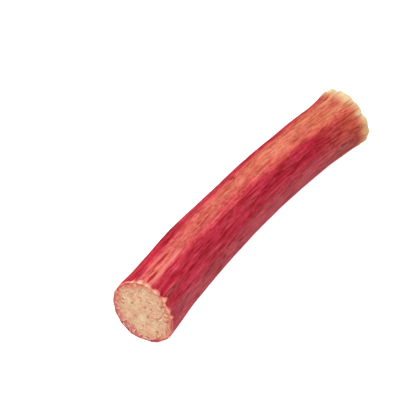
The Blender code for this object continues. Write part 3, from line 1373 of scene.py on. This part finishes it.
def with_pale_end(tree, shade):
    """Turns the skin peach and then cream towards the leaf end's rim, except where it is still red."""
    still_red = tree.step(tree.attribute("rose"), 0.2, 0.9, 1.0, 0.15)
    warm_end = tree.step(tree.attribute("pale_end"), -6, 0, 0, 0.65)
    shade = tree.mix(tree.maths("MULTIPLY", warm_end, still_red), shade, PEACH)
    cream = tree.mix(tree.streaks(*CREAM_STREAKS), CREAM, LIGHT_CREAM)
    cream = tree.lay(cream, tree.streaks(*TAN_STREAKS), 0.5, TAN)
    shade = tree.lay(shade, tree.zone("pale_end"), 0.94, cream)
    shade = tree.lay(shade, tree.attribute("ochre"), 0.7, OCHRE)
    return tree.lay(shade, tree.attribute("crease"), 0.7, CREASE_BROWN)


def with_torn_rim(tree, shade):
    """Shows the flesh of the butt rim's torn flaps, lit where it is thick, with a bruised edge."""
    depth = tree.attribute("torn_flesh")
    shade = tree.mix(tree.step(depth, -1.2, 0.2, 0, 0.8), shade, BRUISED_PINK)
    flesh = tree.mix(tree.step(depth, 0.0, 1.6, 0.3, 0.6), tree.flesh()["Color"], LIT_FLAP)
    flesh = tree.mix(tree.step(depth, 1.1, -0.2, 0, 0.85), flesh, FLAP_EDGE)
    return tree.mix(tree.zone("torn_flesh"), shade, flesh)


# ---- materials


def rhubarb_skin():
    """Thin, slightly glossy skin: crimson flanks, a salmon band along the top and a pale leaf end."""
    material, tree, shader = new_material("rhubarb skin", StalkTree, specular=0.03)
    along = tree.step(tree.attribute("from_butt"), 10, 150)
    in_band = tree.zone("top_band")
    shade = tree.mix(in_band, flank_shade(tree), band_shade(tree, along))
    for name, most, code in SKIN_MARKS:
        shade = tree.lay(shade, tree.attribute(name), most, code)
    threads = tree.streaks(*THREADS)
    mottle = tree.streaks(*MOTTLE)
    pits = tree.streaks(*PITS)
    shade = with_fine_marks(tree, shade, in_band, threads, mottle, pits)
    shade = with_pale_and_deep_marks(tree, shade, in_band, along)
    shade = with_torn_rim(tree, with_pale_end(tree, shade))
    roughness = tree.step(threads, 0, 1, 0.55, 0.42)
    height = tree.maths("SUBTRACT", mottle, tree.maths("ADD", threads, pits))
    finish_surface(tree, shader, shade, roughness, height, 0.04 * MM)
    return material


def cut_flesh():
    """The cut faces: crumbly cream flesh that turns pink under the skin, with the skin's red edge."""
    material, tree, shader = new_material("cut flesh", StalkTree, specular=0.15)
    flesh = tree.flesh()
    outer = tree.step(tree.attribute("into_cut"), 7.0, 0.5, 0, 0.55)
    shade = tree.mix(outer, flesh["Color"], OUTER_FLESH)
    shade = tree.lay(shade, tree.attribute("clear"), 0.6, CLEAR_FLESH)
    pink = tree.maths("MULTIPLY", tree.zone("pink_rim"), 0.95)
    shade = tree.mix(pink, shade, tree.mix(tree.attribute("rosy"), SALMON_RIM, ROSY_RIM))
    # Small crumbs near the rim, paler and darker: partly the flesh's tone, partly painted highlights and
    # shade
    bits = tree.noise(tree.vector, 0.75, 2.0, 0.6)
    shade = tree.lay(shade, tree.step(bits, 0.56, 0.66), outer, BIT_TONE_AND_HIGHLIGHT)
    shade = tree.lay(shade, tree.step(bits, 0.44, 0.33), outer, BIT_TONE_AND_SHADE)
    # Highlights painted on the raised torn fibres and fold lips
    shade = tree.lay(shade, tree.attribute("torn_edge_highlight"), 0.8, tree.mix(outer, *FIBRE_HIGHLIGHT_COLOURS))
    # Shade painted in the creases beside the torn fibres
    shade = tree.lay(shade, tree.attribute("crease"), 0.9, tree.mix(outer, *CREASE_SHADE_COLOURS))
    # Shade painted brown in the torn hollows
    shade = tree.lay(shade, tree.attribute("shaded_hollow"), 0.65, HOLLOW_SHADE)
    # Shade painted in the folds of the flesh and at the rim
    shade = tree.lay(shade, tree.attribute("fold"), 0.9, tree.mix(pink, *FOLD_SHADE_COLOURS))
    shade = tree.lay(shade, tree.zone("red_edge"), 0.85, KNIFE_RED)
    shade = tree.lay(shade, tree.zone("flap_foot"), 0.85, FOOT_CREAM)
    roughness = tree.step(flesh["Height"], 0.5, 1.0, 0.6, 0.45)
    finish_surface(tree, shader, shade, roughness, flesh["Height"], 0.15 * MM)
    return material


def pale_floor_material():
    """White paper. The camera sees it a little brighter than it lights the stalk, as on a lit table."""
    material, tree, shader = new_material("pale floor", Tree, specular=0.0)
    shader.inputs["Base Color"].default_value = (FLOOR_SHADE, FLOOR_SHADE, FLOOR_SHADE, 1)
    shader.inputs["Roughness"].default_value = 0.9
    shader.inputs["Emission Strength"].default_value = FLOOR_GLOW
    seen = tree.add("LightPath", {}).outputs["Is Camera Ray"]
    tree.link(tree.mix(seen, BLACK, WHITE), shader.inputs["Emission Color"])
    return material


# ---- stage


def aim_at(piece, target):
    piece.rotation_euler = (target - piece.location).to_track_quat("-Z", "Y").to_euler()


def direction(azimuth, elevation):
    """From the stalk towards a camera or a light."""
    a = math.radians(azimuth)
    e = math.radians(elevation)
    return Vector((math.sin(a) * math.cos(e), -math.cos(a) * math.cos(e), math.sin(e)))


def camera():
    lens = bpy.data.cameras.new("camera")
    lens.lens = LENS
    place = VIEW_AIM + VIEW_DISTANCE * direction(VIEW_AZIMUTH, VIEW_ELEVATION)
    made = add_object("camera", lens, place)
    aim_at(made, VIEW_AIM)
    bpy.context.scene.camera = made


def soft_light(name, azimuth, elevation, distance, side, power):
    data = bpy.data.lights.new(name, "AREA")
    data.size = side
    data.energy = power
    made = add_object(name, data, distance * direction(azimuth, elevation))
    aim_at(made, LIGHT_AIM)


def white_room():
    """A plain white surround: dim where it lights the stalk, white where the camera sees it."""
    world = bpy.data.worlds.new("white room")
    world.use_nodes = True
    tree = Tree(world.node_tree)
    seen = tree.add("LightPath", {}).outputs["Is Camera Ray"]
    dim = (ROOM_LIGHT, ROOM_LIGHT, ROOM_LIGHT, 1)
    tree.link(tree.mix(seen, dim, WHITE), world.node_tree.nodes["Background"].inputs["Color"])
    bpy.context.scene.world = world


def studio_light():
    white_room()
    soft_light("key light", azimuth=-120, elevation=54, distance=1.1, side=0.45, power=9)
    soft_light("fill light", azimuth=-25, elevation=40, distance=1.2, side=0.9, power=4.5)
    soft_light("leaf end light", azimuth=80, elevation=12, distance=1.2, side=0.8, power=8)
    bpy.context.scene.view_settings.view_transform = "Standard"


def floor():
    half = FLOOR_SIDE / 2
    mesh = bpy.data.meshes.new("floor")
    corners = [(-half, -half, 0), (half, -half, 0), (half, half, 0), (-half, half, 0)]
    mesh.from_pydata(corners, [], [(0, 1, 2, 3)])
    mesh.materials.append(pale_floor_material())
    return add_object("floor", mesh)


def main():
    camera()
    stalk = rhubarb_stalk()
    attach(stalk, "root")
    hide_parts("stalk")
    floor()
    studio_light()


main()
